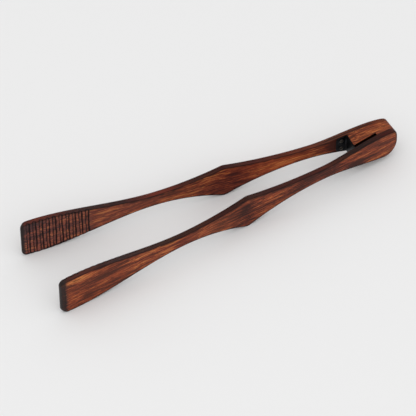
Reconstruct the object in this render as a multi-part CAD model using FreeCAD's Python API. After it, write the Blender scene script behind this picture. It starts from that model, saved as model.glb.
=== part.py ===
"""Spring loaded kitchen tongs in hardwood.

Two flat arms are cut to one outline: a broad tip with cross grooves, a slim neck, a pointed
bulge that keeps the hand off the food, a second slim neck where the wood flexes, and a round
heel. At the butt the rear arm is glued along a wedge block, and the front arm to a thin spacer
strip behind a saw slot, so both arms can bend towards each other. A bent steel leaf lies
against the end of the wedge and pushes the arms apart; two small screws hold its rear leg.

Millimetres. +X runs from the tips to the butt, +Y towards the rear arm, +Z up the width of the
arms. The tongs stand on the edges of their arms: the origin is on the ground, under the middle.
"""

import FreeCAD, Part
import math
import os

# Overall sizes
overall_length = 300.0
tip_gap = 63.0  # between the inner faces, at the tips
core_thickness = 8.5  # between the inner faces, at the butt end
arm_thickness = 4.3

# Outline of an arm: half widths above and below its centre line, and where they fall
tip_corner_radius = 4.0
tip_edge_slope = 0.1  # of the long edges, where they leave the tip's corners
tip_broad_at = 12.0  # from the tip end
tip_above = 16.0
tip_below = 15.9
front_neck_at = 107.0  # from the tip end
front_neck_above = 6.0
front_neck_below = 4.5
bulge_at = 163.0  # from the tip end
bulge_above = 12.6
bulge_below = 16.2
bulge_rounding = 3.0  # length of the rounded point
rear_neck_at = 68.0  # from the butt end
rear_neck_above = 5.9
rear_neck_below = 4.3
heel_at = 12.0  # from the butt end
heel_above = 11.7
heel_below = 11.5
heel_slope = {1: 0.0, -1: 0.1}  # of the edges above and below, where the round butt begins
butt_shoulder = {1: 0.95, -1: 0.8}  # how far the heel's edge runs on, as a share of heel_at
butt_fullness = {1: 0.95, -1: 0.25}  # how square the end is, as a share of the heel's height
edge_rounding = 0.5

# Grooves across the inner face of each tip
groove_count = 10
groove_pitch = 5.2
groove_width = 2.3
groove_depth = 0.5
first_groove_at = 5.5  # from the tip end to the groove's middle

# Butt: wedge block, slot and spacer strip
block_length = 35.7  # along the rear arm
heel_glue_length = 17.0  # along the front arm, past the end of the slot
slot_width = 2.3

# Leaf spring and its screws
leaf_thickness = 0.4
leaf_bend_radius = 1.2  # to the middle of the leaf
leaf_inset = 0.8  # below and above the edges of the wood
rear_leg_length = 9.0
front_leg_length = 17.5
screw_spacing = 7.4
screw_head_radius = 1.6
screw_head_height = 0.9
screw_shank_radius = 0.8
screw_shank_length = 3.4
screw_hole_clearance = 0.15  # round the shank, in the leaf

reach = overall_length + tip_gap  # longer than anything cut or trimmed with it
V = FreeCAD.Vector
opening_slope = (tip_gap - core_thickness) / 2 / overall_length
corner_drop = tip_edge_slope * (tip_broad_at - tip_corner_radius) / 2


def inner_y(x):
    """Distance of the inner faces from the middle plane, at x from the tip end."""
    return tip_gap / 2 - opening_slope * x


def span(start, start_slope, end, end_slope):
    """A smooth curve in the XZ plane between two points, with the slope given at each."""
    third = (end[0] - start[0]) / 3
    poles = [
        V(start[0], 0, start[1]),
        V(start[0] + third, 0, start[1] + third * start_slope),
        V(end[0] - third, 0, end[1] - third * end_slope),
        V(end[0], 0, end[1]),
    ]
    curve = Part.BezierCurve()
    curve.setPoles(poles)
    return curve.toShape()


def edge_spans(tip, front_neck, bulge, rear_neck, heel, side):
    """One long edge of the arm, tip corner to heel. side is 1 above and -1 below."""
    front_x, rear_x = front_neck_at, overall_length - rear_neck_at
    heel_x = overall_length - heel_at

    def before(x):
        return front_neck + (bulge - front_neck) * ((x - front_x) / (bulge_at - front_x)) ** 2

    def after(x):
        return rear_neck + (bulge - rear_neck) * ((rear_x - x) / (rear_x - bulge_at)) ** 2

    left, right = bulge_at - bulge_rounding / 2, bulge_at + bulge_rounding / 2
    rise = 2 * (bulge - front_neck) * (left - front_x) / (bulge_at - front_x) ** 2
    fall = -2 * (bulge - rear_neck) * (rear_x - right) / (rear_x - bulge_at) ** 2
    knots = [
        ((tip_corner_radius, tip - corner_drop), tip_edge_slope),
        ((tip_broad_at, tip), 0),
        ((front_x, front_neck), 0),
        ((left, before(left)), rise),
        ((right, after(right)), fall),
        ((rear_x, rear_neck), 0),
        ((heel_x, heel), heel_slope[side]),
    ]
    points = [((x, side * z), side * slope) for (x, z), slope in knots]
    return [span(*a, *b) for a, b in zip(points, points[1:])]


def tip_corner(tip, side):
    """The round corner between the tip end and a long edge."""
    r, top = tip_corner_radius, tip - corner_drop
    middle = V(r * (1 - math.sqrt(0.5)), 0, side * (top - r * (1 - math.sqrt(0.5))))
    return Part.Arc(V(0, 0, side * (top - r)), middle, V(r, 0, side * top)).toShape()


def butt_curve(heel, side):
    """A quarter of the round butt, from the heel to the end of the centre line."""
    x, end = overall_length - heel_at, overall_length
    handle = butt_shoulder[side] * heel_at
    poles = [
        V(x, 0, side * heel),
        V(x + handle, 0, side * (heel + handle * heel_slope[side])),
        V(end, 0, side * butt_fullness[side] * heel),
        V(end, 0, 0),
    ]
    curve = Part.BezierCurve()
    curve.setPoles(poles)
    return curve.toShape()


def outline_prism():
    """The arm's outline, as a bar that runs along Y through both arms."""
    sides = [
        (1, tip_above, front_neck_above, bulge_above, rear_neck_above, heel_above),
        (-1, tip_below, front_neck_below, bulge_below, rear_neck_below, heel_below),
    ]
    edges = [
        Part.LineSegment(
            V(0, 0, tip_above - corner_drop - tip_corner_radius),
            V(0, 0, -(tip_below - corner_drop - tip_corner_radius)),
        ).toShape()
    ]
    for side, tip, front_neck, bulge, rear_neck, heel in sides:
        edges.append(tip_corner(tip, side))
        edges += edge_spans(tip, front_neck, bulge, rear_neck, heel, side)
        edges.append(butt_curve(heel, side))
    wire = Part.Wire(Part.__sortEdges__(edges))
    bar = Part.Face(wire).extrude(V(0, 2 * reach, 0))
    bar.translate(V(0, -reach, 0))
    return bar


def plan_slab(corners, low=-reach, high=reach):
    """A slab of that plan, from low to high."""
    points = [V(x, y, low) for x, y in corners]
    face = Part.Face(Part.makePolygon(points + points[:1]))
    return face.extrude(V(0, 0, high - low))


def between(x_low, x_high, near, far):
    """Plan of what lies between two lines y = near(x) and y = far(x)."""
    return [(x_low, near(x_low)), (x_high, near(x_high)), (x_high, far(x_high)), (x_low, far(x_low))]


def mirrored(shape):
    """The same shape on the other arm."""
    return shape.mirror(V(0, 0, 0), V(0, 1, 0))


def rounded_outside(arm):
    """Eases the edges round the outer face, at the greater distance from the middle plane."""
    outer = max(
        (f for f in arm.Faces if isinstance(f.Surface, Part.Plane)),
        key=lambda f: f.Area * (f.CenterOfMass.y > inner_y(f.CenterOfMass.x) + arm_thickness / 2),
    )
    return arm.makeFillet(edge_rounding, outer.Edges)


def plain_arm():
    """The rear arm without its holes: the front arm is its mirror image."""

    def outer_y(x):
        return inner_y(x) + arm_thickness

    arm = outline_prism().common(plan_slab(between(-1, overall_length + 1, inner_y, outer_y)))
    arm = rounded_outside(arm.Solids[0])
    for i in range(groove_count):
        middle = first_groove_at + i * groove_pitch
        low, high = middle - groove_width / 2, middle + groove_width / 2

        def bottom(x):
            return inner_y(x) + groove_depth

        def open_side(x):
            return inner_y(x) - groove_depth

        arm = arm.cut(plan_slab(between(low, high, open_side, bottom)))
    return arm.Solids[0]


# Lines and corners of the butt, in plan
opening_angle = math.atan(opening_slope)
along_rear = V(-math.cos(opening_angle), math.sin(opening_angle), 0)  # towards the tips
across_rear = V(-math.sin(opening_angle), -math.cos(opening_angle), 0)  # towards the front arm
along_front = V(along_rear.x, -along_rear.y, 0)
block_end_x = overall_length - block_length
slot_end_x = overall_length - heel_glue_length
block_rear_corner = V(block_end_x, inner_y(block_end_x), 0)


def rear_inner(x):
    return inner_y(x)


def front_inner(x):
    return -inner_y(x)


def slot_side(x):
    """The wedge's face along the slot."""
    return -inner_y(x) + slot_width / math.cos(opening_angle)


def meets(start, direction, line):
    """Where a ray in plan crosses a line y = line(x)."""
    line_slope = line(1) - line(0)
    distance = (line(start.x) - start.y) / (direction.y - line_slope * direction.x)
    return start + direction * distance


block_front_corner = meets(block_rear_corner, across_rear, slot_side)


def wedge_block():
    """The core of the butt, square to the rear arm at its inner end."""
    end = overall_length + 1
    corners = [
        (block_rear_corner.x, block_rear_corner.y),
        (end, rear_inner(end)),
        (end, slot_side(end)),
        (block_front_corner.x, block_front_corner.y),
    ]
    return outline_prism().common(plan_slab(corners)).Solids[0]


def spacer_strip():
    """Fills the slot where the front arm is glued."""
    plan = between(slot_end_x, overall_length + 1, front_inner, slot_side)
    return outline_prism().common(plan_slab(plan)).Solids[0]


def bent_strip(points, thickness, radius):
    """Plan of a strip that follows the points, with an arc at each corner between them."""
    directions = [(b - a).normalize() for a, b in zip(points, points[1:])]
    lefts = [V(-d.y, d.x, 0) for d in directions]
    first, last = lefts[0] * (thickness / 2), lefts[-1] * (thickness / 2)
    edges = [
        Part.LineSegment(points[0] + first, points[0] - first).toShape(),
        Part.LineSegment(points[-1] + last, points[-1] - last).toShape(),
    ]
    for offset in (thickness / 2, -thickness / 2):
        place = points[0] + lefts[0] * offset
        for corner, way, left, next_way, next_left in zip(
            points[1:-1], directions, lefts, directions[1:], lefts[1:]
        ):
            turn = math.copysign(1, way.cross(next_way).z)
            centre = corner - way * (radius * math.tan(way.getAngle(next_way) / 2)) + left * (radius * turn)
            arm = turn * radius - offset
            arc_start, arc_end = centre - left * arm, centre - next_left * arm
            arc_middle = centre - (left + next_left).normalize() * arm
            edges.append(Part.LineSegment(place, arc_start).toShape())
            edges.append(Part.Arc(arc_start, arc_middle, arc_end).toShape())
            place = arc_end
        edges.append(Part.LineSegment(place, points[-1] + lefts[-1] * offset).toShape())
    return Part.Face(Part.Wire(Part.__sortEdges__(edges)))


def screw_places():
    """The middle of each screw, where it meets the rear arm's inner face."""
    x = block_rear_corner.x + along_rear.x * (rear_leg_length + leaf_thickness) / 2
    middle = (rear_neck_above - rear_neck_below) / 2
    return [V(x, inner_y(x), middle + screw_spacing * k) for k in (-0.5, 0.5)]


def leaf_spring():
    """One bent leaf: a leg on each arm's inner face and a web against the end of the wedge."""
    half = leaf_thickness / 2
    rear_corner = block_rear_corner + along_rear * half + across_rear * half
    front_corner = meets(rear_corner, across_rear, front_inner)
    front_corner -= across_rear * (half / math.cos(2 * opening_angle))
    rear_end = rear_corner + along_rear * (rear_leg_length - half)
    front_end = front_corner + along_front * front_leg_length
    plan = bent_strip([rear_end, rear_corner, front_corner, front_end], leaf_thickness, leaf_bend_radius)
    plan.translate(V(0, 0, -reach))
    leaf = plan.extrude(V(0, 0, 2 * reach))
    for shift in (leaf_inset, -leaf_inset):
        bar = outline_prism()
        bar.translate(V(0, 0, shift))
        leaf = leaf.common(bar)
    hole_radius = screw_shank_radius + screw_hole_clearance
    for place in screw_places():
        leaf = leaf.cut(Part.makeCylinder(hole_radius, 2 * leaf_thickness, place, across_rear))
    return leaf.Solids[0]


def screw(place):
    """A small pan head screw, its head on the leaf and its shank in the rear arm."""
    seat = place + across_rear * leaf_thickness
    head = Part.makeCylinder(screw_head_radius, screw_head_height, seat, across_rear)
    top = [e for e in head.Edges if (e.CenterOfMass - seat).Length > screw_head_height / 2 and e.Closed]
    head = head.makeFillet(0.6 * screw_head_height, top)
    length = leaf_thickness + screw_shank_length
    shank = Part.makeCylinder(screw_shank_radius, length, seat, -across_rear)
    return head.fuse(shank).removeSplitter().Solids[0]


def rear_arm_with_holes():
    """The rear arm, with the hole that each screw has cut."""
    arm = plain_arm()
    for place in screw_places():
        arm = arm.cut(Part.makeCylinder(screw_shank_radius, screw_shank_length, place, -across_rear))
    return arm.Solids[0]


to_ground = V(-overall_length / 2, 0, -outline_prism().optimalBoundingBox(False).ZMin)


def write(name, shape):
    shape = shape.copy()
    shape.translate(to_ground)
    shape.exportStep("parts/" + name + ".step")


os.makedirs("parts", exist_ok=True)
write("rear_arm", rear_arm_with_holes())
write("front_arm", mirrored(plain_arm()))
write("wedge_block", wedge_block())
write("spacer_strip", spacer_strip())
write("leaf_spring", leaf_spring())
write("spring_screws", Part.makeCompound([screw(place) for place in screw_places()]))
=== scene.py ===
# %% [markdown]
# # Spring loaded kitchen tongs
# Two long arms of oiled rosewood are glued to a wedge at the butt. A saw slot beside the wedge
# lets the wood bend, so the tips close when a hand squeezes the arms, and a steel leaf against
# the end of the wedge pushes them open again. This file gives the working model its looks: the
# arms, the leaf and the screws are rebuilt as fine surfaces, and the wedge and the spacer strip
# keep their exact shapes and get their finish.
#
# ## The frame
# The working model is loaded first. Everything below is placed from it, in metres.

# %% Load the frame
import math

import bmesh
import bpy
import numpy as np
from mathutils import Matrix, Vector


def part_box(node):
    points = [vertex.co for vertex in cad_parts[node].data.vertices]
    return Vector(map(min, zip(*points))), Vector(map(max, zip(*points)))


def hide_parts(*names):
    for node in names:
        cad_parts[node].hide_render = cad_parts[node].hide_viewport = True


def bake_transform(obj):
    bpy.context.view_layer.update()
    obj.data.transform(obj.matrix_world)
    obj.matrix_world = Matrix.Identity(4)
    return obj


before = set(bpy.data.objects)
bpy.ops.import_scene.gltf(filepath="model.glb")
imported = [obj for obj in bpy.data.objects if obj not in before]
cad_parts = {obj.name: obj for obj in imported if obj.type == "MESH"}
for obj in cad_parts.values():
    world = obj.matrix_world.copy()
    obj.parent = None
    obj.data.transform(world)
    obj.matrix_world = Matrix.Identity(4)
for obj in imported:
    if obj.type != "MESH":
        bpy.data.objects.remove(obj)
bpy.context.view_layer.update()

# %% [markdown]
# ## A maker's ruler
# On the bench the sizes are in millimetres: x is counted from the tip end, z from the arm's centre
# line, and h is the depth into the arm, from its inner face. One function turns such a place into
# the frame's metres. The inner faces lie on two straight lines that open towards the tips.

# %% Bench sizes
mm = 0.001
arm_low, arm_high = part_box("rear_arm")
arm_length = round((arm_high.x - arm_low.x) / mm, 2)
tip_above, tip_below = 16.0, 15.9
centre_height = arm_high.z - tip_above * mm
tip_half_gap = 31.5
butt_half_gap = 4.25
arm_thickness = 4.3
opening_slope = (tip_half_gap - butt_half_gap) / arm_length
opening_angle = math.atan(opening_slope)


def inner_y(x):
    """Distance of the inner faces from the middle plane: a straight line from tip to butt."""
    return tip_half_gap - opening_slope * x


def in_frame(x, y, z):
    """Bench millimetres to the frame's metres: a shift, and a scale of one thousandth."""
    return np.stack([arm_low.x + x * mm, y * mm, centre_height + z * mm], axis=-1)


print("arm length", arm_length, "mm, opening",
      round(math.degrees(opening_angle), 2), "degrees each side")

# %% [markdown]
# ## The arm's outline
# A long curve like this could be drawn with a Bezier curve in the viewport. Here it is written as
# a formula, because both arms, and the leaf between them, need its height at any x. Between two
# knots the edge is the cubic that has the given height and slope at both. The bulge is two
# parabolas that meet in a point, with the point rounded over 3 mm.

# %% Outline of the long edges
corner_radius = 4.0
front_neck_x, bulge_x, rear_neck_x, heel_x = 107.0, 163.0, arm_length - 68.0, arm_length - 12.0
bulge_rounding = 3.0
upper_butt, lower_butt = (11.4, 0.95), (9.6, 0.25)  # shoulder and fullness, see edge_line


def edge_knots(tip, front_neck, bulge, rear_neck, heel, heel_slope):
    """Rows of x, height and slope. Beside the bulge they lie on parabolas from the two necks."""
    left, right = bulge_x - bulge_rounding / 2, bulge_x + bulge_rounding / 2
    rise = (bulge - front_neck) / (bulge_x - front_neck_x) ** 2
    fall = (bulge - rear_neck) / (rear_neck_x - bulge_x) ** 2
    return np.array([
        (corner_radius, tip - 0.4, 0.1),
        (12.0, tip, 0.0),
        (front_neck_x, front_neck, 0.0),
        (left, front_neck + rise * (left - front_neck_x) ** 2, 2 * rise * (left - front_neck_x)),
        (right, rear_neck + fall * (rear_neck_x - right) ** 2, -2 * fall * (rear_neck_x - right)),
        (rear_neck_x, rear_neck, 0.0),
        (heel_x, heel, heel_slope),
    ])


upper_edge = edge_knots(tip_above, 6.0, 12.6, 5.9, 11.7, 0.0)
lower_edge = edge_knots(tip_below, 4.5, 16.2, 4.3, 11.5, 0.1)


def edge_height(x, knots):
    """Cubic Hermite curve: the height at x from the heights and slopes of the knots beside it."""
    i = np.clip(np.searchsorted(knots[:, 0], x, side="right") - 1, 0, len(knots) - 2)
    (x0, z0, m0), (x1, z1, m1) = knots[i].T, knots[i + 1].T
    step = x1 - x0
    u = (x - x0) / step
    return (
        (2 * u**3 - 3 * u**2 + 1) * z0 + (u**3 - 2 * u**2 + u) * step * m0
        + (3 * u**2 - 2 * u**3) * z1 + (u**3 - u**2) * step * m1
    )


def edge_line(x, knots, shoulder, fullness):
    """The whole edge as x and z: a quarter circle at the tip, the knots' curve at the given x, and
    at the butt a cubic Bezier curve that ends on the centre line, square to it. Its handles are as
    long as shoulder millimetres and as fullness times the heel's height."""
    turn = np.radians(np.linspace(0, 90, 13))[:-1]
    base = knots[0, 1] - corner_radius
    corner = np.stack([corner_radius * (1 - np.cos(turn)), base + corner_radius * np.sin(turn)], -1)
    long_part = np.stack([x, edge_height(x, knots)], -1)
    heel, slope = knots[-1, 1:]
    poles = np.array([(heel_x, heel), (heel_x + shoulder, heel + shoulder * slope),
                      (arm_length, fullness * heel), (arm_length, 0.0)])
    t = np.linspace(0, 1, 25)[1:, None]
    butt = ((1 - t)**3 * poles[0] + 3 * t * (1 - t)**2 * poles[1]
            + 3 * t**2 * (1 - t) * poles[2] + t**3 * poles[3])
    return np.concatenate([corner, long_part, butt])


stations = np.concatenate([
    np.arange(corner_radius, 58, 0.2), np.arange(58, 160, 1.5), np.arange(160, 166, 0.5),
    np.arange(166, heel_x, 1.5), [heel_x],
])
bulge_heights = [edge_height(np.array([bulge_x]), edge)[0] for edge in (upper_edge, lower_edge)]
print(len(stations), "stations; the bulge reaches", np.round(bulge_heights, 2), "above and below")

# %% [markdown]
# ## Grip grooves
# Ten shallow channels are sawn across the inner face of each tip, so that food doesn't slip. They
# are cut by hand, so each one wavers a little. A groove could be a boolean cut. Here the inner face
# is pushed in where a groove runs, which keeps the mesh one clean grid: a clipped ramp gives each
# channel a flat floor and steep walls.

# %% Depth of the grooves
groove_count, groove_pitch, first_groove = 10, 5.2, 5.5
groove_width, groove_depth, wall_run = 2.3, 0.5, 0.2


def from_groove_wall(x, z):
    """Distance from the nearest groove wall in millimetres: above zero inside the channel. Slow
    sine waves along the channel move its middle and its width by a tenth of a millimetre or two."""
    k = np.clip(np.round((x - first_groove) / groove_pitch), 0, groove_count - 1)
    waver = 0.12 * np.sin(1.9 * k + 0.23 * z) + 0.006 * z * np.sin(2.3 * k)
    middle = first_groove + k * groove_pitch + waver
    half = groove_width / 2 * (1 + 0.07 * np.sin(5.1 * k + 0.6 * z))
    return half - np.abs(x - middle)


def groove_cut(x, z):
    """Depth of the cut: the wall distance, turned into a ramp that is clipped at the two levels.
    Sanding has made the cut shallower where it runs out at the long edges."""
    run_out = 0.35 + 0.65 * np.clip((15.2 - np.abs(z) - 0.09 * np.maximum(x - 12, 0)) / 3, 0, 1)
    return groove_depth * run_out * np.clip(from_groove_wall(x, z) / wall_run + 0.5, 0, 1)


last_wall = first_groove + (groove_count - 1) * groove_pitch + groove_width / 2
print(groove_count, "grooves reach", last_wall, "mm from the tip")

# %% [markdown]
# ## The figure of the wood
# Rosewood isn't even: a knot or a dark heartwood patch lies where it happened to grow. Noise alone
# would put them anywhere, so the few large ones are placed one by one, as soft round spots whose
# sum is stored on the mesh. Above zero is darker than the wood around, below zero is lighter.

# %% Patches of darker and lighter wood
front_patches = [  # x, z, length, width, strength
    (162, 1, 7, 7, 0.7), (152, 7, 12, 4, 0.2), (146, -3, 7, 3, -0.3), (216, 0, 16, 7, 0.7),
    (240, 1, 14, 6, 0.5), (262, -5, 9, 5, 1.3), (199, 0, 4, 2, 0.3), (104, -1, 6, 2, 0.3),
    # The long light spot at x 14, z 13, just under the front arm's upper edge by the tip, is a
    # painted highlight where the outer face rounds over towards the edge.
    (278, 3, 13, 12, 0.35), (14, 13, 12, 2.0, -1.3), (70, 1, 16, 7, -0.05), (126, 0, 8, 4, -0.35),
    (30, 0, 24, 14, 0.25), (44, -9, 18, 4, 0.2), (183, -2, 10, 5, 0.2), (88, 5, 12, 2, -0.35),
]
rear_patches = [
    (171, 3, 6, 3, 0.95), (158, -2, 14, 5, 0.5), (140, 1, 9, 5, -0.3), (92, -7, 16, 1.6, 0.9),
    (120, 3, 6, 3, 0.45), (104, 2, 10, 4, 0.5), (212, -1, 14, 4, -0.65), (182, 0, 10, 6, 0.15),
    (114, -1, 5, 2, -0.6), (72, 2, 14, 8, -0.3), (236, 0, 7, 5, -0.35), (256, 1, 8, 9, 1.4),
    (26, 12, 26, 3.5, 0.25), (30, -12, 14, 3, 0.2), (5, 12, 6, 6, 1.0), (178, -9, 10, 3, 0.3),
]


def smooth_step(value, start, end):
    """Zero before start, one after end, and a smooth cubic between them."""
    t = np.clip((value - start) / (end - start), 0, 1)
    return t * t * (3 - 2 * t)


def shade_at(x, z, patches):
    """Sum of Gaussian spots: each falls off as exp(-(dx/length)^2 - (dz/width)^2)."""
    px, pz, length, width, strength = np.array(patches, float).T
    away = ((x[..., None] - px) / length) ** 2 + ((z[..., None] - pz) / width) ** 2
    return (strength * np.exp(-away)).sum(-1)


def edge_streak(x, h, z):
    """One long dark streak in the top edge beside the wedge: a bell curve in the depth h, faded in
    and out along x."""
    across_edge = np.exp(-(((h - 1.4) / 0.6) ** 2)) * (z > 3)
    return 1.5 * across_edge * smooth_step(x, 240, 250) * smooth_step(-x, -292, -284)


print(len(front_patches), "patches in front,", len(rear_patches), "behind")

# %% [markdown]
# ## An arm from three grids
# The arm is a flat board whose edges are eased with sandpaper. A Bevel modifier on a plain board
# would round every edge by the same amount, but the real tips are rounded far more than the long
# edges. So the board is made of three grids: a rim that carries an easing profile round the
# outline, and two faces that fill it. The profile goes in from the outline by `inset` and through
# the board by `h`. Merging the doubled points joins the grids along their seams. Only across the
# tip do the points of two grids lie on one line but not on each other, so those two short seams
# stay open, by less than 0.002 mm, and are the open edges that are counted below.
#
# Four values are stored on every point for the wood's material: its place along the grain (which
# stays with the wood when the arm bends), how near it is to the rim, how near to a groove wall,
# and the patches' shade.

# %% Helpers for grids
def grid_faces(rows, columns, first=0, closed=False):
    """Quads between neighbouring points of a grid stored row by row; closed joins the last column
    to the first."""
    index = first + np.arange(rows * columns).reshape(rows, columns)
    if closed:
        index = np.concatenate([index, index[:, :1]], axis=1)
    quads = np.stack([index[:-1, :-1], index[:-1, 1:], index[1:, 1:], index[1:, :-1]], -1)
    return quads.reshape(-1, 4)


def finished_piece(name, points, faces, stored=None, sharp=35):
    """A mesh object at the origin from points in metres and faces. Doubled points are merged,
    faces are turned outwards, and edges that bend more than sharp degrees stay crisp."""
    mesh = bpy.data.meshes.new(name)
    mesh.from_pydata(points.tolist(), [], [list(f) for f in faces])
    for key, values in (stored or {}).items():
        kind, field = ("FLOAT_VECTOR", "vector") if values.ndim == 2 else ("FLOAT", "value")
        layer = mesh.attributes.new(key, kind, "POINT")
        layer.data.foreach_set(field, values.astype(np.float32).ravel())
    cleaner = bmesh.new()
    cleaner.from_mesh(mesh)
    bmesh.ops.remove_doubles(cleaner, verts=cleaner.verts, dist=2e-7)
    bmesh.ops.dissolve_degenerate(cleaner, edges=cleaner.edges, dist=1e-8)
    bmesh.ops.recalc_face_normals(cleaner, faces=cleaner.faces)
    open_edges = sum(not e.is_manifold for e in cleaner.edges)
    cleaner.to_mesh(mesh)
    cleaner.free()
    mesh.shade_smooth()
    mesh.set_sharp_from_angle(angle=math.radians(sharp))
    piece = bpy.data.objects.new(name, mesh)
    bpy.context.scene.collection.objects.link(piece)
    print(name, len(mesh.polygons), "faces,", open_edges, "open edges")
    return piece


# %% The arm's surface
rows_across = 41
crown = 0.1  # how far the outer face falls away towards its rim


def easing(x):
    """Radius of the eased inner and outer edges: small along the sides, large round the tip."""
    at_tip = 1 - smooth_step(x, 0, 5)
    at_butt = smooth_step(x, arm_length - 16, arm_length)
    return 0.3 + 0.3 * at_tip, 0.5 + 2.9 * at_tip + 0.6 * at_butt


def rim_profile(x):
    """Inset and h round the board's edge, one row per step: a quarter circle at the inner face, a
    straight side, and a quarter circle at the outer face."""
    inner_radius, outer_radius = easing(x)
    turn = np.radians(np.linspace(0, 90, 6))[:, None]
    first_inset, first_h = inner_radius * (1 - np.sin(turn)), inner_radius * (1 - np.cos(turn))
    last_inset = outer_radius * (1 - np.cos(turn))
    last_h = arm_thickness - crown - outer_radius * (1 - np.sin(turn))
    share = np.array([[0.33], [0.67]])
    side_h = first_h[-1] * (1 - share) + last_h[0] * share
    inset = np.concatenate([first_inset, 0 * side_h, last_inset])
    return inset, np.concatenate([first_h, side_h, last_h])


def arm_surface(side, patches):
    """Points, faces and stored values of an arm; side is 1 behind and -1 in front."""
    top = edge_line(stations, upper_edge, *upper_butt)
    bottom = edge_line(stations, lower_edge, *lower_butt)
    bottom[:, 1] *= -1
    count = len(top)
    v = np.linspace(0, 1, rows_across)
    tip_line = bottom[0] * (1 - v[1:-1, None]) + top[0] * v[1:-1, None]
    loop = np.concatenate([tip_line, top, bottom[-2::-1]])
    along = np.roll(loop, -1, 0) - np.roll(loop, 1, 0)
    outward = np.stack([-along[:, 1], along[:, 0]], -1) / np.linalg.norm(along, axis=1)[:, None]
    inset, h = rim_profile(loop[:, 0])
    ring = loop - outward * inset[..., None]

    start = len(tip_line)
    above = np.arange(start, start + count)
    below = np.concatenate([np.arange(len(loop) - 1, start + count - 1, -1), [above[-1]]])
    parts, faces, first = [(ring, h, inset)], [grid_faces(*inset.shape, closed=True)], inset.size
    for row, outer in ((0, False), (-1, True)):
        face = ring[row][below][:, None] * (1 - v[:, None]) + ring[row][above][:, None] * v[:, None]
        x = face[..., 0]
        from_rim = np.minimum(np.minimum(v, 1 - v) * (face[:, -1:, 1] - face[:, :1, 1]),
                              np.minimum(x - x[0, 0], arm_length - x))
        inside = smooth_step(np.minimum(x - x[0, 0], x[-1, 0] - x), 0, 9)
        inside = inside * (1 - np.abs(2 * v - 1) ** 3)
        depth = arm_thickness - crown * (1 - inside) if outer else 0 * x
        parts.append((face, depth, from_rim + inset[row].min()))
        faces.append(grid_faces(count, rows_across, first))
        first += x.size

    x, z = np.concatenate([p[0].reshape(-1, 2) for p in parts]).T
    h = np.concatenate([np.ravel(p[1]) for p in parts])
    rim = np.concatenate([np.ravel(p[2]) for p in parts])
    h = h + groove_cut(x, z) * (1 - h / arm_thickness) ** 2
    no_groove = -3 * smooth_step(h, 1.0, 2.0)  # keeps the walls' value off the outer face
    stored = {
        "grain": np.stack([x / math.cos(opening_angle), h, z], -1),
        "rim": rim,
        "groove": np.clip(from_groove_wall(x, z), -2, 2) + no_groove,
        "shade": shade_at(x, z, patches) + (edge_streak(x, h, z) if side > 0 else 0),
    }
    return in_frame(x, side * (inner_y(x) + h), z), np.concatenate(faces), stored


rear_arm = finished_piece("rear_arm_rosewood", *arm_surface(1, rear_patches))
front_arm = finished_piece("front_arm_rosewood", *arm_surface(-1, front_patches))
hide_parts("rear_arm")
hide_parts("front_arm")

# %% [markdown]
# ## The bending arms
# The heel of each arm is glued to the wedge and stays still; from there on the wood bends. The
# rigid model turns the whole arm about one hinge. Here each arm's placement is only baked into its
# mesh; it is not blended or bent.


def bend(piece):
    """Bakes the piece's placement into its mesh, as bake_transform does."""
    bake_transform(piece)


bend(rear_arm)
bend(front_arm)

# %% [markdown]
# ## The leaf spring
# A strip of thin spring steel is bent over the end of the wedge: a web across the end, and one leg
# along each arm. Its plan is a line with two rounded bends, and its height follows the arms'
# outline. The strip is that line with a thin rounded section carried along it; the ends of the legs
# are rounded too, as a spring maker's shears leave them.

# %% The leaf's centre line
leaf_thickness, leaf_radius, leaf_inset = 0.4, 1.2, 0.8
rear_leg, front_leg, block_length = 9.0, 17.5, 35.7
leaf_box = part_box("leaf_spring")
block_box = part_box("wedge_block")
block_x = arm_length - block_length
towards_tips = np.array([-math.cos(opening_angle), math.sin(opening_angle)])
across = np.array([-math.sin(opening_angle), -math.cos(opening_angle)])
rear_corner = np.array([block_x, inner_y(block_x)]) + (towards_tips + across) * leaf_thickness / 2


def rounded_line(corners, radius, spacing=0.25):
    """Points along a line, spacing apart or less, with an arc in place of each inner corner."""
    pieces, place = [], corners[0]
    for before, corner, after in zip(corners, corners[1:], corners[2:]):
        into, out = corner - before, after - corner
        into, out = into / np.linalg.norm(into), out / np.linalg.norm(out)
        turn = math.atan2(into[0] * out[1] - into[1] * out[0], into @ out)
        cut = radius * math.tan(abs(turn) / 2)
        arc_start = corner - into * cut
        left = np.array([-into[1], into[0]]) * math.copysign(1, turn)
        centre = arc_start + left * radius
        steps = np.linspace(0, turn, 9)
        spoke = -left * radius
        arc = centre + np.stack([spoke[0] * np.cos(steps) - spoke[1] * np.sin(steps),
                                 spoke[0] * np.sin(steps) + spoke[1] * np.cos(steps)], -1)
        number = max(2, int(np.linalg.norm(arc_start - place) / spacing))
        pieces += [place + (arc_start - place) * np.linspace(0, 1, number)[:-1, None], arc[:-1]]
        place = arc[-1]
    number = max(2, int(np.linalg.norm(corners[-1] - place) / spacing))
    pieces.append(place + (corners[-1] - place) * np.linspace(0, 1, number)[:, None])
    return np.concatenate(pieces)


drop = (rear_corner[1] + inner_y(rear_corner[0])) / (
    math.cos(opening_angle) + opening_slope * math.sin(opening_angle))
front_corner = rear_corner + across * (drop - leaf_thickness / 2 / math.cos(2 * opening_angle))
front_direction = towards_tips * [1, -1]
leaf_line = rounded_line([
    rear_corner + towards_tips * (rear_leg - leaf_thickness / 2), rear_corner, front_corner,
    front_corner + front_direction * front_leg,
], leaf_radius)
print("leaf spring from x", round(leaf_line[:, 0].min(), 2), "mm, in the working model from",
      round((leaf_box[0].x - arm_low.x) / mm, 2), "mm, and the wedge from",
      round((block_box[0].x - arm_low.x) / mm, 2), "mm")

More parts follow.
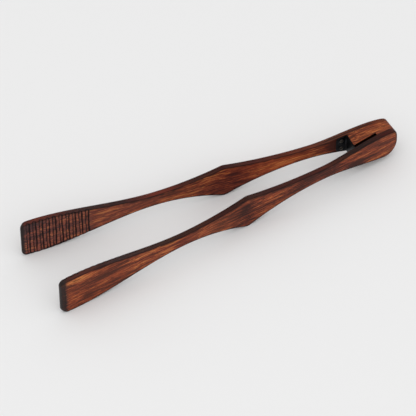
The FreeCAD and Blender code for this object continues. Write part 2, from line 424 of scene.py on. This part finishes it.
# %% The leaf
def leaf_surface(line):
    """A section carried along the line: a flat rectangle with rounded long edges, whose height is
    the arms' outline less an inset, and shrinks as a quarter circle at both ends."""
    tangent = np.gradient(line, axis=0)
    tangent /= np.linalg.norm(tangent, axis=1)[:, None]
    normal = np.stack([-tangent[:, 1], tangent[:, 0]], -1)
    run = np.concatenate([[0], np.cumsum(np.linalg.norm(np.diff(line, axis=0), axis=1))])
    from_end = np.minimum(run, run[-1] - run)
    corner = 2.0
    lost = corner - np.sqrt(np.maximum(corner**2 - np.maximum(corner - from_end, 0) ** 2, 0))
    top = edge_height(line[:, 0], upper_edge) - leaf_inset - lost
    bottom = -edge_height(line[:, 0], lower_edge) + leaf_inset + lost
    half, soft = leaf_thickness / 2, 0.12
    turn = np.radians(np.arange(0, 360, 22.5) + 11.25)
    flat = np.linspace(0.1, 0.9, 5)
    section_side = np.sign(np.cos(turn)) * (half - soft) + soft * np.cos(turn)
    section_end = soft * np.sin(turn) - soft * np.sign(np.sin(turn))
    upper = (np.sin(turn) > 0).astype(float)
    out = np.concatenate([section_side[:8], -half + 0 * flat, section_side[8:], half + 0 * flat])
    end = np.concatenate([section_end[:8], 0 * flat, section_end[8:], 0 * flat])
    share = np.concatenate([upper[:8], 1 - flat, upper[8:], flat])
    place = line[:, None] + normal[:, None] * out[:, None]
    z = bottom[:, None] * (1 - share) + top[:, None] * share + end
    points = in_frame(place[..., 0], place[..., 1], z).reshape(-1, 3)
    wide = len(out)
    caps = [list(range(wide)), list(range(len(points) - wide, len(points)))]
    return points, grid_faces(len(line), wide, closed=True).tolist() + caps


leaf = finished_piece("leaf_spring_steel", *leaf_surface(leaf_line))
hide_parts("leaf_spring")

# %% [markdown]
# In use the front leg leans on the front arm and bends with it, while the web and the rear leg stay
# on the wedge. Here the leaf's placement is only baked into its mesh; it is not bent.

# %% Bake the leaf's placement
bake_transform(leaf)

# %% [markdown]
# ## Two screws
# Small pan head screws hold the rear leg. A screw is a lathe shape: a profile of radius and height
# is turned round its axis. The driver slot is pressed into the head by lowering the points near one
# diameter, so that it stays part of the same surface.

# %% The screws
screw_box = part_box("spring_screws")
screw_head, screw_head_height, shank_radius, shank_length = 1.6, 0.9, 0.8, 3.4
screw_x = block_x - math.cos(opening_angle) * (rear_leg + leaf_thickness) / 2
screw_heights = [0.8 - 3.7, 0.8 + 3.7]
flat_radius, dome_height = 1.0, 0.55
slot_depth, slot_half_width, slot_wall = 0.4, 0.3, 0.08


def screw_surface(z_place, slot_turn):
    """Profile turned round the axis, and the slot pressed in by a clipped ramp from its middle."""
    dome = np.radians(np.linspace(90, 0, 12))[1:]
    flat = np.linspace(0, flat_radius, 24)
    dome_radius = flat_radius + (screw_head - flat_radius) * np.cos(dome)
    radius = np.concatenate([flat, dome_radius, [screw_head, shank_radius, shank_radius, 0]])
    point = -leaf_thickness - shank_length + 0.05
    height = np.concatenate([0 * flat + screw_head_height,
                             screw_head_height - dome_height * (1 - np.sin(dome)),
                             [0, 0, point, point]])
    angle = np.radians(np.arange(0, 360, 5))
    a = radius[:, None] * np.cos(angle + slot_turn)
    b = radius[:, None] * np.sin(angle + slot_turn)
    from_slot = slot_half_width - np.abs(radius[:, None] * np.sin(angle))
    pressed = slot_depth * np.clip(from_slot / slot_wall + 0.5, 0, 1)
    up = height[:, None] - pressed * (height[:, None] > 0.3)
    seat = np.array([screw_x, inner_y(screw_x)]) + across * leaf_thickness
    x = seat[0] + across[0] * up + towards_tips[0] * a
    y = seat[1] + across[1] * up + towards_tips[1] * a
    return in_frame(x, y, z_place + b).reshape(-1, 3), grid_faces(*x.shape, closed=True)


screw_parts = [screw_surface(z, turn) for z, turn in zip(screw_heights, (0.5, 1.9))]
screw_points = np.concatenate([points for points, faces in screw_parts])
screw_faces = np.concatenate([screw_parts[0][1], screw_parts[1][1] + len(screw_parts[0][0])])
screws = finished_piece("spring_screws_steel", screw_points, screw_faces, sharp=30)
print("screws at z", np.round(screw_heights, 2), "mm, in the working model from",
      *(round((corner.z - centre_height) / mm, 2) for corner in screw_box), "mm")
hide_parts("spring_screws")
bend(screws)

# %% [markdown]
# ## Materials
# Colours are given as sRGB hex values, and the renderer works with linear light, so one function
# converts them. Another adds a node, sets its values and links its inputs, so that each step below
# reads as one line of the node editor.

# %% Helpers for materials
noise_low, noise_high = 0.35, 0.65  # nearly all of a noise lies between these
metre = (1000, 1000, 1000)  # in millimetres, to scale Object coordinates


def linear(code):
    """sRGB hex code to linear red, green and blue, with an alpha of one."""
    srgb = np.array([int(code[i:i + 2], 16) for i in (1, 3, 5)]) / 255
    return (*np.where(srgb <= 0.04045, srgb / 12.92, ((srgb + 0.055) / 1.055) ** 2.4), 1.0)


def add(tree, kind, inputs=None, stops=(), **settings):
    """Adds a node. settings are its properties; inputs are values for its sockets, or nodes and
    sockets to link to them; stops are the positions and hex colours of a colour ramp."""
    made = tree.nodes.new(kind)
    for key, value in settings.items():
        setattr(made, key, value)
    for key, value in (inputs or {}).items():
        if isinstance(value, bpy.types.Node):
            value = next(socket for socket in value.outputs if socket.enabled)
        if isinstance(value, bpy.types.NodeSocket):
            tree.links.new(value, made.inputs[key])
        else:
            made.inputs[key].default_value = value
    for i, (position, code) in enumerate(stops):
        elements = made.color_ramp.elements
        stop = elements[i] if i < len(elements) else elements.new(position)
        stop.position, stop.color = position, linear(code)
    return made


def new_material(name):
    """An empty node material, its tree, and its output's surface socket."""
    made = bpy.data.materials.new(name)
    made.use_nodes = True
    made.node_tree.nodes.clear()
    output = add(made.node_tree, "ShaderNodeOutputMaterial")
    return made, made.node_tree, output.inputs["Surface"]


def layered(tree, colour, layers):
    """Lays flat colours over a colour, one after the other. Each layer is a measure, the two values
    between which it takes effect, its strength at each of them, and its hex colour."""
    for measure, start, end, at_start, at_end, code in layers:
        mask = add(tree, "ShaderNodeMapRange", {
            0: measure, 1: start, 2: end, 3: at_start, 4: at_end}, interpolation_type="SMOOTHSTEP")
        colour = add(tree, "ShaderNodeMix", {0: mask, 6: colour, 7: linear(code)}, data_type="RGBA")
    return colour


def stretched_noise(tree, grain, long, wide, detail=3.0, distortion=0.0, seed=0.0):
    """Noise whose features are about long millimetres along the grain and wide across it."""
    place = add(tree, "ShaderNodeVectorMath", {0: grain, 1: (1 / long, 1 / wide, 1 / wide),
                2: (seed, 1.7 * seed, 2.3 * seed)}, operation="MULTIPLY_ADD")
    return add(tree, "ShaderNodeTexNoise", {"Vector": place, "Scale": 1.0, "Detail": detail,
               "Roughness": 0.6, "Distortion": distortion})


# %% [markdown]
# ## Oiled rosewood
# The arms are a dense, reddish brown hardwood of the rosewood kind, sawn, sanded and rubbed with
# oil. What the eye sees is layered: broad bands of growth about 4 mm wide, fine streaks about 1 mm
# wide and 26 mm long, short curly figure, near-black veins, and open pores. Each is a noise
# stretched along the grain, whose size is set in millimetres. Pores are really 0.2 mm wide; they
# are drawn at 0.6 mm, because finer ones wouldn't show. Three noises and the patches' shade are
# summed, and a colour ramp turns the sum into wood.

# %% The figure of the wood
wood_stops = [(0.41, "#1E0806"), (0.46, "#4E1D12"), (0.495, "#7C341D"), (0.54, "#A24E2A"),
              (0.60, "#CE7E42")]


def wood_figure(tree, grain, seed, shade=0.0):
    """The bare wood's colour and a height for its relief, from sums of stretched noise. The grain
    itself wanders sideways by up to sway millimetres."""
    sway = 3.5
    wander = stretched_noise(tree, grain, 45, 14, 1.0, seed=seed + 5)
    shift = add(tree, "ShaderNodeMath", {
        0: wander, 1: 2 * sway, 2: -sway}, operation="MULTIPLY_ADD")
    push = add(tree, "ShaderNodeCombineXYZ", {1: shift, 2: shift})
    waved = add(tree, "ShaderNodeVectorMath", {0: grain, 1: push}, operation="ADD")
    bands = stretched_noise(tree, waved, 60, 4.0, 2.0, seed=seed)
    streaks = stretched_noise(tree, waved, 26, 0.9, 4.0, 0.3, seed=seed + 1)
    curls = stretched_noise(tree, waved, 5, 1.4, 3.0, 1.5, seed=seed + 2)
    veins = stretched_noise(tree, waved, 70, 5.0, 2.0, 0.6, seed=seed + 3)
    pores = stretched_noise(tree, grain, 9, 0.6, 1.0, seed=seed + 4)
    total = 0.04
    for part, share in ((bands, 0.30), (streaks, 0.44), (curls, 0.18), (shade, -0.11)):
        total = add(tree, "ShaderNodeMath", {0: part, 1: share, 2: total}, operation="MULTIPLY_ADD")
    figure = add(tree, "ShaderNodeValToRGB", {0: total}, stops=wood_stops)
    from_vein = add(tree, "ShaderNodeMath", {0: veins, 1: 0.5}, operation="SUBTRACT")
    from_vein = add(tree, "ShaderNodeMath", {0: from_vein}, operation="ABSOLUTE")
    colour = layered(tree, figure, [
        (from_vein, 0.0, 0.022, 0.75, 0.0, "#200B09"),
        (pores, 0.55, 0.66, 0.0, 0.75, "#180706"),
    ])
    relief = add(tree, "ShaderNodeMath", {0: pores, 1: -0.8, 2: streaks}, operation="MULTIPLY_ADD")
    return colour, relief


def oiled(tree, colour, relief, surface, film=0.02):
    """An oiled wood surface: satin, with a film of oil that gives broad soft highlights."""
    rough = add(tree, "ShaderNodeMapRange", {0: relief, 1: -0.3, 2: 0.5, 3: 0.48, 4: 0.32})
    bump = add(tree, "ShaderNodeBump", {"Strength": 0.35, "Distance": 0.00012, "Height": relief})
    shader = add(tree, "ShaderNodeBsdfPrincipled", {
        "Base Color": colour, "Roughness": rough, "Normal": bump, "IOR": 1.5,
        "Specular IOR Level": 0.1, "Coat Weight": film, "Coat Roughness": 0.2})
    tree.links.new(shader.outputs[0], surface)


# %% [markdown]
# ### Wear, stains and painted shade on the arms
# Over the figure lie the marks of making and use, and painted light. A wash shifts the hue from tip
# to butt. The narrow edges are darker: partly a stain from the oil they drink, partly painted
# shade, and their grey stretches are a painted sheen. A broken dark line where a face rounds over
# into an edge is painted shade, the tip end is darker over a few millimetres, and the walls of the
# grooves are darkened both by scorch from the saw and by painted shade in the channels.

# %% Rosewood of the arms
grain_length = 301.2  # of an arm's inner face, from tip to butt


def arm_wood(name, seed, wash_stops, wash, edge_stain_shade_sheen_stops, tip_dark_reach):
    """Rosewood that reads the values stored on an arm. wash_stops tint it from the tip to the butt
    by the share wash, and the next stops colour its narrow edges in the same way: their stain, with
    painted shade and, in the grey stops, a painted sheen. The last argument is how many millimetres
    the darker tip end reaches."""
    made, tree, surface = new_material(name)
    grain = add(tree, "ShaderNodeAttribute", attribute_name="grain").outputs["Vector"]
    rim, groove, shade = (add(tree, "ShaderNodeAttribute", attribute_name=key).outputs["Fac"]
                          for key in ("rim", "groove", "shade"))
    colour, relief = wood_figure(tree, grain, seed, shade)
    along = add(tree, "ShaderNodeSeparateXYZ", {0: grain}).outputs["X"]
    share = add(tree, "ShaderNodeMath", {0: along, 1: 1 / grain_length}, operation="MULTIPLY")
    washed = add(tree, "ShaderNodeValToRGB", {0: share}, stops=wash_stops)
    colour = add(tree, "ShaderNodeMix", {0: wash, 6: colour, 7: washed}, data_type="RGBA")

    # The narrow edges keep some of the streaks below their stain and painted shade
    blotch = stretched_noise(tree, grain, 14, 1.6, 3.0, seed=seed + 8)
    edge_stain_shade_sheen = add(tree, "ShaderNodeValToRGB", {0: share}, stops=edge_stain_shade_sheen_stops)
    edge_stain_shade_sheen = layered(tree, edge_stain_shade_sheen, [
        (blotch, 0.35, 0.60, 0.55, 0.0, "#120506"), (shade, 0.5, 1.3, 0.0, 0.8, "#1A0A08")])
    on_side = add(tree, "ShaderNodeMapRange", {0: rim, 1: 0.1, 2: 0.6, 3: 0.90, 4: 0.0})
    colour = add(tree, "ShaderNodeMix", {0: on_side, 6: colour, 7: edge_stain_shade_sheen}, data_type="RGBA")

    # The line beside the rim, which is painted shade, the darker tip end, and the groove walls,
    # darkened by saw scorch and painted shade, all broken by noise
    wobble = stretched_noise(tree, grain, 10, 3.0, 2.0, seed=seed + 9)
    reach = add(tree, "ShaderNodeMapRange", {
        0: wobble, 1: noise_low, 2: noise_high, 3: 0.8, 4: 2.8})
    near_rim = add(tree, "ShaderNodeMath", {0: rim, 1: reach}, operation="DIVIDE")
    on_edge = add(tree, "ShaderNodeMapRange", {0: rim, 1: 0.0, 2: 0.3, 3: 0.8, 4: 0.0})
    near_rim = add(tree, "ShaderNodeMath", {0: near_rim, 1: on_edge}, operation="ADD")
    tip_reach = add(tree, "ShaderNodeMath", {
        0: wobble, 1: 4.0, 2: tip_dark_reach - 2.0}, operation="MULTIPLY_ADD")
    near_tip = add(tree, "ShaderNodeMath", {0: along, 1: tip_reach}, operation="DIVIDE")
    smear = stretched_noise(tree, grain, 2.5, 5.0, 2.0, seed=seed + 10)
    width = add(tree, "ShaderNodeMapRange", {
        0: smear, 1: noise_low, 2: noise_high, 3: 0.45, 4: 1.2})
    from_wall = add(tree, "ShaderNodeMath", {0: groove}, operation="ABSOLUTE")
    from_wall = add(tree, "ShaderNodeMath", {0: from_wall, 1: width}, operation="DIVIDE")
    colour = layered(tree, colour, [
        # Painted shade: a broken dark line where a face rounds over into an edge
        (near_rim, 0.25, 1.0, 0.85, 0.0, "#160706"),
        # The tip end, darker over a few millimetres
        (near_tip, 0.4, 1.2, 0.92, 0.0, "#160706"),
        # The groove walls: scorch from the saw, and painted shade in the channels
        (from_wall, 0.3, 1.0, 0.95, 0.0, "#110607"),
    ])
    film = add(tree, "ShaderNodeMapRange", {0: near_tip, 1: 0.4, 2: 1.2, 3: 0.3, 4: 0.03})
    oiled(tree, colour, relief, surface, film)
    return made


front_wood = arm_wood(
    "oiled_rosewood_front", 3.0,
    [(0.0, "#86462E"), (0.25, "#8A4A34"), (0.35, "#703226"), (0.43, "#945636"), (0.54, "#52281E"),
     (0.60, "#743C28"), (0.72, "#5A3022"), (0.84, "#643226"), (0.92, "#74402E"), (1.0, "#70402F")],
    0.25,
    # Narrow edges, tip to butt: stain with painted shade, and a painted sheen where the stops are
    # grey
    [(0.0, "#45211B"), (0.07, "#46211B"), (0.17, "#332829"), (0.27, "#1B1516"), (0.36, "#241310"),
     (0.47, "#300C08"), (0.54, "#1C0807"), (0.63, "#350F0B"), (0.77, "#44170E"), (0.85, "#150F0E"),
     (0.92, "#0D0707"), (0.955, "#3A0600"), (1.0, "#3C0600")], 6.0)
rear_wood = arm_wood(
    "oiled_rosewood_rear", 11.0,
    [(0.0, "#745050"), (0.17, "#825850"), (0.19, "#7C4A40"), (0.30, "#78463A"), (0.40, "#743E28"),
     (0.52, "#581A10"), (0.60, "#6A200C"), (0.68, "#A04010"), (0.74, "#983E10"), (0.80, "#6A2810"),
     (1.0, "#3C1E14")],
    0.36,
    # Narrow edges, tip to butt: stain with painted shade, and a painted sheen where the stops are
    # grey
    [(0.0, "#5C251B"), (0.07, "#5C251B"), (0.17, "#271A1B"), (0.27, "#201215"), (0.355, "#6C2A1C"),
     (0.465, "#2B110E"), (0.54, "#2D0C0A"), (0.63, "#451610"), (0.77, "#5F2818"), (0.85, "#794532"),
     (0.92, "#612B19"), (1.0, "#713217")], 3.5)
for piece, wood in ((front_arm, front_wood), (rear_arm, rear_wood)):
    piece.data.materials.append(wood)
    print(piece.name, "wears", wood.name, "with", len(wood.node_tree.nodes), "nodes")

# %% [markdown]
# ## Rosewood of the wedge and the spacer
# The wedge and the spacer strip were sawn from the same plank, and their exact shapes are kept from
# the working model. Their grain runs along the rear arm, so Object coordinates are turned by the
# opening angle and counted in millimetres. The walls of the saw slot and the wedge's end towards
# the tips are painted near black: painted shade, for the shade that fills the narrow slot and lies
# on the end behind the leaf. They are the only faces that look neither up, nor down, nor out at the
# butt, so a mask from the surface's direction finds them.

# %% Rosewood of the core
def core_wood(name, seed, light, amount):
    """Rosewood on Object coordinates; light is laid over the figure by amount."""
    made, tree, surface = new_material(name)
    where = add(tree, "ShaderNodeTexCoord").outputs
    grain = add(tree, "ShaderNodeMapping", {
        "Vector": where["Object"], "Rotation": (0, 0, opening_angle), "Scale": metre})
    colour, relief = wood_figure(tree, grain, seed)
    colour = add(tree, "ShaderNodeMix", {0: amount, 6: colour, 7: linear(light)}, data_type="RGBA")
    facing = add(tree, "ShaderNodeSeparateXYZ", {0: where["Normal"]}).outputs
    outside = add(tree, "ShaderNodeMath", {0: facing["Z"]}, operation="ABSOLUTE")
    outside = add(tree, "ShaderNodeMath", {0: outside, 1: facing["X"]}, operation="MAXIMUM")
    # Painted shade: the slot walls and the wedge's end towards the tips turn near black
    colour = layered(tree, colour, [(outside, 0.1, 0.4, 0.96, 0.0, "#080303")])
    oiled(tree, colour, relief, surface)
    return made


wedge_wood = core_wood("oiled_rosewood_wedge", 21.0, "#683620", 0.4)
spacer_wood = core_wood("oiled_rosewood_spacer", 27.0, "#763E26", 0.55)
for node_name, wood in (("wedge_block", wedge_wood), ("spacer_strip", spacer_wood)):
    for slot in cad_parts[node_name].material_slots:
        slot.material = wood
    print(node_name, "wears", wood.name)

# %% [markdown]
# ## Steel
# The leaf is spring steel, hardened and blued: near black, with a cold sheen and fine rolling marks
# along its legs. The screws are plain steel, dulled by years of washing. Object coordinates are
# enough for such small pieces.

# %% Blued spring steel and screw steel
def steel(name, dark, light, roughness, stretch):
    """A metal whose colour and gloss vary in fine marks; stretch is their length and width."""
    made, tree, surface = new_material(name)
    where = add(tree, "ShaderNodeTexCoord").outputs["Object"]
    place = add(tree, "ShaderNodeVectorMath", {0: where, 1: metre}, operation="MULTIPLY")
    marks = stretched_noise(tree, place, *stretch, seed=2.0)
    cloud = stretched_noise(tree, place, 5.0, 4.0, 2.0, seed=6.0)
    colour = layered(tree, linear(dark), [(cloud, noise_low, noise_high, 0.0, 1.0, light)])
    rough = add(tree, "ShaderNodeMapRange", {
        0: marks, 1: 0.3, 2: 0.7, 3: roughness - 0.08, 4: roughness + 0.1})
    bump = add(tree, "ShaderNodeBump", {"Strength": 0.2, "Distance": 0.00004, "Height": marks})
    shader = add(tree, "ShaderNodeBsdfPrincipled", {
        "Base Color": colour, "Metallic": 1.0, "Roughness": rough, "Normal": bump})
    tree.links.new(shader.outputs[0], surface)
    return made


leaf.data.materials.append(steel("blued_spring_steel", "#1A1A1B", "#35373A", 0.42, (12.0, 0.4)))
screws.data.materials.append(steel("dull_dark_steel", "#3A3734", "#6A655E", 0.40, (1.5, 0.4)))
print("steel:", leaf.data.materials[0].name, "and", screws.data.materials[0].name)

# %% [markdown]
# ## Floor, light and camera
# The tongs stand on a pale board in an even studio light with faint shadows: most of it comes from
# a pale surround, and a wide softbox above, a little in front, gives it a direction. The camera
# looks down at the tongs at 45 degrees with a long lens, so that the arms hardly converge.

# %% The studio
floor_mesh = bpy.data.meshes.new("pale_floor")
floor_size = 6.0
corners = np.array([(-1, -1, 0), (1, -1, 0), (1, 1, 0), (-1, 1, 0)]) * floor_size
floor_mesh.from_pydata(corners.tolist(), [], [(0, 1, 2, 3)])
floor = bpy.data.objects.new("pale_floor", floor_mesh)
bpy.context.scene.collection.objects.link(floor)
floor_paint, tree, surface = new_material("matt_pale_paint")
paint = add(tree, "ShaderNodeBsdfPrincipled", {
    "Base Color": linear("#E9E9E9"), "Roughness": 0.9, "Specular IOR Level": 0.1})
tree.links.new(paint.outputs[0], surface)
floor_mesh.materials.append(floor_paint)

world = bpy.data.worlds.new("pale_surround")
bpy.context.scene.world = world
world.use_nodes = True
background = world.node_tree.nodes["Background"]
background.inputs["Color"].default_value = (1, 1, 1, 1)
background.inputs["Strength"].default_value = 0.85
bpy.context.scene.view_settings.view_transform = "Standard"

softbox_place = Vector((-0.5, -1.0, 2.5))
softbox_data = bpy.data.lights.new("softbox_above", "AREA")
softbox_data.size, softbox_data.energy = 4.0, 26
softbox = bpy.data.objects.new("softbox_above", softbox_data)
softbox.location = softbox_place
softbox.rotation_euler = (-softbox_place).to_track_quat("-Z", "Y").to_euler()
bpy.context.scene.collection.objects.link(softbox)

# %% The camera
yaw, pitch, roll = (math.radians(a) for a in (27.71, 45.30, 0.54))
camera_place = (-0.7543, -1.4170, 1.6293)
focal_to_width = 3027 / 416  # the focal length as a multiple of the sensor's width
camera_data = bpy.data.cameras.new("camera")
camera_data.sensor_width = 36.0
camera_data.lens = focal_to_width * camera_data.sensor_width
camera_data.clip_start, camera_data.clip_end = 0.1, 20
camera = bpy.data.objects.new("camera", camera_data)
forward = Vector((
    math.cos(pitch) * math.sin(yaw), math.cos(pitch) * math.cos(yaw), -math.sin(pitch)))
level = Vector((math.cos(yaw), -math.sin(yaw), 0))
upright = level.cross(forward)
right = level * math.cos(roll) - upright * math.sin(roll)
up = upright * math.cos(roll) + level * math.sin(roll)
turn = Matrix((right, up, -forward)).transposed()
camera.matrix_world = Matrix.Translation(camera_place) @ turn.to_4x4()
bpy.context.scene.collection.objects.link(camera)
bpy.context.scene.camera = camera
print("camera looks down", round(math.degrees(pitch), 1), "degrees with a",
      round(camera_data.lens), "mm lens")

# %% [markdown]
# ## Finish
# The view layer is updated once more.

# %% Finish
bpy.context.view_layer.update()
